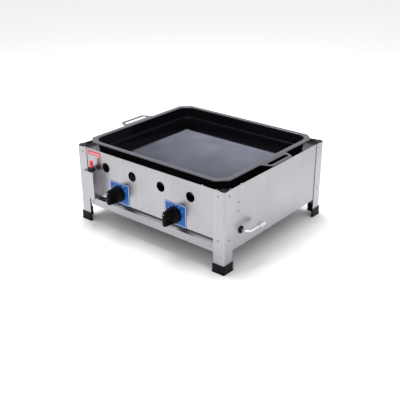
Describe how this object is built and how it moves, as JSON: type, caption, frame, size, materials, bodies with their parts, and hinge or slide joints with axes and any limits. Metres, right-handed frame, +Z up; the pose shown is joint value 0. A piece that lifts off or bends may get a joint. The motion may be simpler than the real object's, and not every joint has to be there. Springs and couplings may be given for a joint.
{
  "type": "flat top griddle",
  "caption": "Table-top gas griddle: deep enamelled pan that lifts off a stainless box on angle legs, with sight holes and push-and-turn control knobs.",
  "frame": {"origin": "on the floor under the middle of the whole outer box, knobs, pan handles and gas inlet included", "axes": "+X to the right along the control panel, +Y from the control panel to the back, +Z up"},
  "size_m": [0.6718, 0.6026, 0.287],
  "materials": {
    "brushed_stainless": "fine brushed",
    "fasteners": "plain",
    "inner_steel": "mill finish",
    "burner_steel": "heat-tinted",
    "pipe_steel": "plated",
    "spring_steel": "bright",
    "cap_plastic": "satin moulded",
    "black_enamel": "glossy vitreous enamel on steel",
    "black_knob": "satin gloss",
    "blue_plate": "printed, satin",
    "white_mark": "paint",
    "red_label": "printed stripes",
    "brass": "machined",
    "copper": "drawn copper",
    "chrome": "polished",
    "black_rubber": "matte",
    "igniter_black": "satin",
    "red_plastic": "glossy",
    "lead_rubber": "silicone",
    "electrode_ceramic": "glazed"
  },
  "bodies": {
    "frame": {"burner_left": "burner_steel", "burner_right": "burner_steel", "burner_support_front": "inner_steel", "burner_support_rear": "inner_steel", "electrode_clip": "inner_steel", "foot_cap_front_left": "cap_plastic", "foot_cap_front_right": "cap_plastic", "foot_cap_rear_left": "cap_plastic", "foot_cap_rear_right": "cap_plastic", "frame_rivets": "fasteners", "front_panel": "brushed_stainless", "front_rail": "brushed_stainless", "gusset_front_left": "inner_steel", "gusset_front_right": "inner_steel", "gusset_rear_left": "inner_steel", "gusset_rear_right": "inner_steel", "heat_shield": "inner_steel", "igniter_bezel": "igniter_black", "igniter_body": "igniter_black", "igniter_bracket": "brushed_stainless", "igniter_spring": "spring_steel", "ignition_lead": "lead_rubber", "injector_left": "brass", "injector_right": "brass", "inlet_grommet": "black_rubber", "inlet_nipple": "chrome", "inlet_nut": "chrome", "inlet_pipe": "chrome", "knob_plate_left": "blue_plate", "knob_plate_right": "blue_plate", "left_panel": "brushed_stainless", "leg_front_left": "brushed_stainless", "leg_front_right": "brushed_stainless", "leg_plugs": "cap_plastic", "leg_rear_left": "brushed_stainless", "leg_rear_right": "brushed_stainless", "manifold_hanger_left": "inner_steel", "manifold_hanger_right": "inner_steel", "manifold_pipe": "pipe_steel", "rail_screws": "fasteners", "rear_panel": "brushed_stainless", "right_panel": "brushed_stainless", "spark_electrode": "electrode_ceramic", "stripe_label": "red_label", "thermocouple_left": "copper", "thermocouple_right": "copper", "valve_body_left": "brass", "valve_body_right": "brass"},
    "pan": {"pan": "black_enamel"},
    "igniter_button": {"igniter_button": "red_plastic"},
    "tap_plug_left": {"valve_plug_left": "brass", "valve_spring_left": "spring_steel"},
    "knob_left": {"knob_left": "black_knob", "knob_mark_left": "white_mark", "spindle_left": "inner_steel"},
    "tap_plug_right": {"valve_plug_right": "brass", "valve_spring_right": "spring_steel"},
    "knob_right": {"knob_right": "black_knob", "knob_mark_right": "white_mark", "spindle_right": "inner_steel"}
  },
  "joints": [
    {"name": "knob_left_turn", "type": "hinge", "parent": "frame", "child": "tap_plug_left", "pos_m": [-0.13141, -0.22075, 0.146], "axis": [0, -1, 0], "range_deg": [0, 210]},
    {"name": "knob_left_push", "type": "slide", "parent": "tap_plug_left", "child": "knob_left", "axis": [0, 1, 0], "range_m": [0, 0.003], "stiffness_N_per_m": 2000, "springref_m": -0.002, "deforming": ["valve_spring_left"]},
    {"name": "knob_right_turn", "type": "hinge", "parent": "frame", "child": "tap_plug_right", "pos_m": [0.10959, -0.22075, 0.146], "axis": [0, -1, 0], "range_deg": [0, 210]},
    {"name": "knob_right_push", "type": "slide", "parent": "tap_plug_right", "child": "knob_right", "axis": [0, 1, 0], "range_m": [0, 0.003], "stiffness_N_per_m": 2000, "springref_m": -0.002, "deforming": ["valve_spring_right"]},
    {"name": "igniter_push", "type": "slide", "parent": "frame", "child": "igniter_button", "axis": [0, 0, -1], "range_m": [0, 0.006], "stiffness_N_per_m": 1500, "springref_m": -0.003, "deforming": ["igniter_spring"]},
    {"name": "pan_lift_off", "type": "slide", "parent": "frame", "child": "pan", "axis": [0, 0, 1], "range_m": [0, 0.12]}
  ]
}
